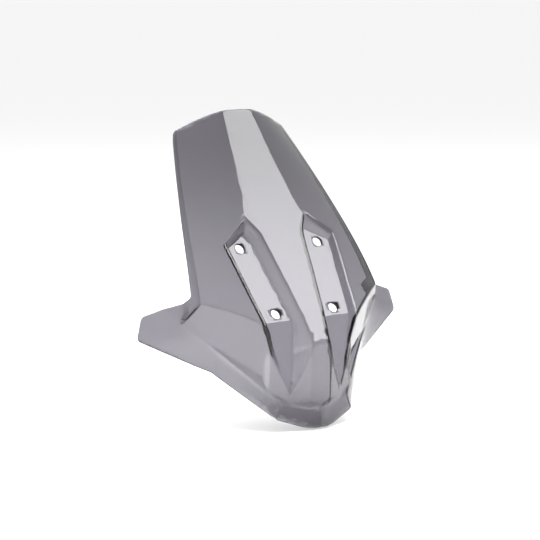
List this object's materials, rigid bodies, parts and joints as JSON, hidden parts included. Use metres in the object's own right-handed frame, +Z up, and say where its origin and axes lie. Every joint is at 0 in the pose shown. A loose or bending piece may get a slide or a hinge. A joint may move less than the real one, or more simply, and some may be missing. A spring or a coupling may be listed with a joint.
{
  "type": "motorcycle windshield screen",
  "caption": "Smoked acrylic windscreen for a naked motorcycle: a formed sheet with a flat facet down its middle, recessed round fixing holes, swept wings and a blunt nose.",
  "frame": {"origin": "centre of the four-hole pattern, on the front faces of the two recess floors", "axes": "+X across the screen, to the right as seen from in front; -Y forwards, the way the motorcycle faces; +Z up, as fitted, with the slope of the screen raked 54.7 degrees above the horizontal"},
  "size_m": [0.3792, 0.1924, 0.3652],
  "materials": {
    "smoked_acrylic": "clear polished smoke-grey acrylic, see-through, with polished edges"
  },
  "bodies": {
    "root": {"screen_panel": "smoked_acrylic"}
  },
  "joints": []
}
